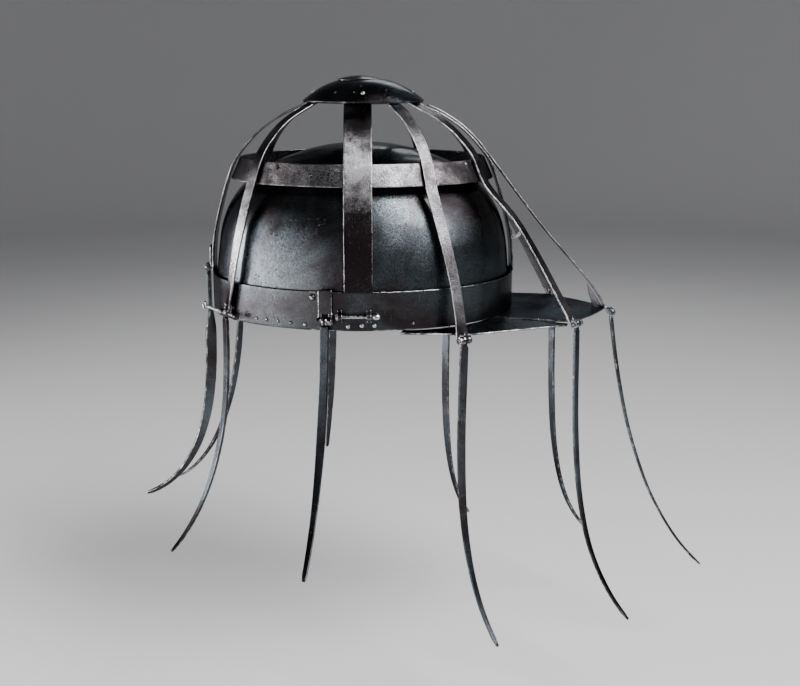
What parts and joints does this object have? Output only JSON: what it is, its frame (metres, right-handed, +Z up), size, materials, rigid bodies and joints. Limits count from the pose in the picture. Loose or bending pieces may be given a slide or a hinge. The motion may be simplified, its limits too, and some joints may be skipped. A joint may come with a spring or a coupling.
{
  "type": "spider helmet",
  "caption": "Iron helmet with a smooth skull inside a cage of bands and straps, a flat pointed peak, and long curved legs hinged round the rim that turn up over the crown.",
  "frame": {"origin": "the middle of the brow band's lower edge, where the helmet sits round the head", "axes": "+X to the tip of the peak, +Y to the wearer's left, +Z up to the crown disc"},
  "size_m": [0.4637, 0.3166, 0.4092],
  "materials": {
    "black_iron": "blackened iron sheet, rubbed to a dark gloss",
    "strap_iron": "blackened iron strap with a fine grain and worn bright edges",
    "leg_iron": "dark forged iron, brighter along the edges",
    "worn_steel": "darkened steel, rubbed bright where it is handled"
  },
  "bodies": {
    "helmet": {"skull_bowl": "black_iron", "brow_band": "black_iron", "upper_band": "strap_iron", "crown_disc": "black_iron", "crown_boss": "black_iron", "crown_rivet_front": "worn_steel", "crown_rivet_left": "worn_steel", "crown_rivet_rear": "worn_steel", "crown_rivet_right": "worn_steel", "peak_plate": "black_iron", "peak_wing_left": "black_iron", "peak_wing_right": "black_iron", "wide_strap_front": "strap_iron", "wide_strap_rear": "strap_iron", "wide_strap_right": "strap_iron", "wide_strap_left": "strap_iron", "leg_strap_tip": "strap_iron", "tip_gusset": "strap_iron", "leg_strap_front_right": "strap_iron", "leg_strap_front_left": "strap_iron", "leg_strap_temple_right": "strap_iron", "leg_strap_temple_left": "strap_iron", "leg_strap_back_right": "strap_iron", "leg_strap_back_left": "strap_iron", "hinge_plate_side_right": "strap_iron", "hinge_plate_side_left": "strap_iron", "hinge_plate_rear": "strap_iron", "pin_tip": "worn_steel", "pin_front_right": "worn_steel", "pin_front_left": "worn_steel", "pin_temple_right": "worn_steel", "pin_temple_left": "worn_steel", "pin_side_right": "worn_steel", "pin_side_left": "worn_steel", "pin_back_right": "worn_steel", "pin_back_left": "worn_steel", "pin_rear": "worn_steel", "side_bolt": "worn_steel", "bolt_guide_back": "strap_iron", "bolt_guide_front": "strap_iron", "front_staple": "strap_iron"},
    "leg_tip": {"leg_tip": "leg_iron"},
    "leg_front_right": {"leg_front_right": "leg_iron"},
    "leg_front_left": {"leg_front_left": "leg_iron"},
    "leg_temple_right": {"leg_temple_right": "leg_iron"},
    "leg_temple_left": {"leg_temple_left": "leg_iron"},
    "leg_side_right": {"leg_side_right": "leg_iron"},
    "leg_side_left": {"leg_side_left": "leg_iron"},
    "leg_back_right": {"leg_back_right": "leg_iron"},
    "leg_back_left": {"leg_back_left": "leg_iron"},
    "leg_rear": {"leg_rear": "leg_iron"}
  },
  "joints": [
    {"name": "tip_hinge", "type": "hinge", "parent": "helmet", "child": "leg_tip", "pos_m": [0.1985, 0, -0.0072], "axis": [0, -1, 0], "range_deg": [0, 175]},
    {"name": "front_right_hinge", "type": "hinge", "parent": "helmet", "child": "leg_front_right", "pos_m": [0.1605, -0.0605, -0.0034], "axis": [-0.6018, -0.7986, 0], "range_deg": [0, 175]},
    {"name": "front_left_hinge", "type": "hinge", "parent": "helmet", "child": "leg_front_left", "pos_m": [0.1605, 0.0605, -0.0034], "axis": [0.6018, -0.7986, 0], "range_deg": [0, 175]},
    {"name": "temple_right_hinge", "type": "hinge", "parent": "helmet", "child": "leg_temple_right", "pos_m": [0.0732, -0.0966, -0.007], "axis": [-0.8192, -0.5736, 0], "range_deg": [0, 175]},
    {"name": "temple_left_hinge", "type": "hinge", "parent": "helmet", "child": "leg_temple_left", "pos_m": [0.0732, 0.0966, -0.007], "axis": [0.8192, -0.5736, 0], "range_deg": [0, 175]},
    {"name": "side_right_hinge", "type": "hinge", "parent": "helmet", "child": "leg_side_right", "pos_m": [-0.0274, -0.0976, 0.0075], "axis": [-0.9816, 0.1908, 0], "range_deg": [0, 175]},
    {"name": "side_left_hinge", "type": "hinge", "parent": "helmet", "child": "leg_side_left", "pos_m": [-0.0274, 0.0976, 0.0075], "axis": [0.9816, 0.1908, 0], "range_deg": [0, 175]},
    {"name": "back_right_hinge", "type": "hinge", "parent": "helmet", "child": "leg_back_right", "pos_m": [-0.1037, -0.0534, 0.0049], "axis": [-0.5592, 0.829, 0], "range_deg": [0, 175]},
    {"name": "back_left_hinge", "type": "hinge", "parent": "helmet", "child": "leg_back_left", "pos_m": [-0.1037, 0.0534, 0.0049], "axis": [0.5592, 0.829, 0], "range_deg": [0, 175]},
    {"name": "rear_hinge", "type": "hinge", "parent": "helmet", "child": "leg_rear", "pos_m": [-0.1217, 0, 0.031], "axis": [0, 1, 0], "range_deg": [0, 175]}
  ]
}
